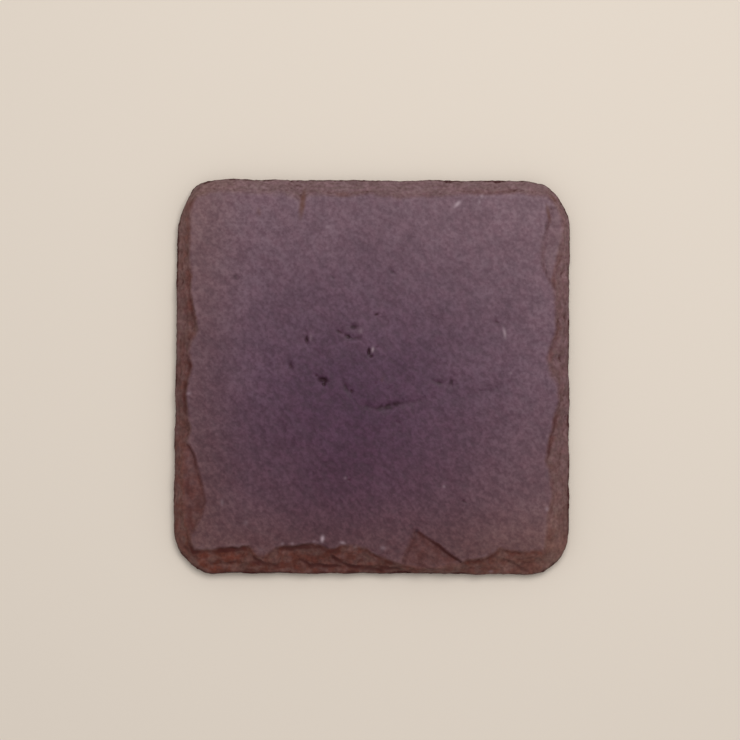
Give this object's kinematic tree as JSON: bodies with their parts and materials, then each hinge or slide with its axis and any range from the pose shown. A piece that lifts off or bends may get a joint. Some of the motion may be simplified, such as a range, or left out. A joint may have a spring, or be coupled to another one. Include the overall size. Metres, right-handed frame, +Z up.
{
  "type": "drink coaster",
  "caption": "Square drink coaster of split slate with hand-dressed, chipped edges and rounded corners, resting flat on self-adhesive foam feet.",
  "frame": {"origin": "on the surface that the coaster stands on, under the middle of the tile", "axes": "+Z up out of the riven top face; X and Y along the sides of the square, with -Y the side nearest the bottom of the picture"},
  "size_m": [0.1, 0.1, 0.007],
  "materials": {
    "slate": "matte",
    "adhesive": "matte",
    "foam": "matte"
  },
  "bodies": {
    "root": {"slate_tile": "slate", "adhesive_front_left": "adhesive", "adhesive_front_right": "adhesive", "adhesive_back_left": "adhesive", "adhesive_back_right": "adhesive", "foot_front_left": "foam", "foot_front_right": "foam", "foot_back_left": "foam", "foot_back_right": "foam"}
  },
  "joints": []
}
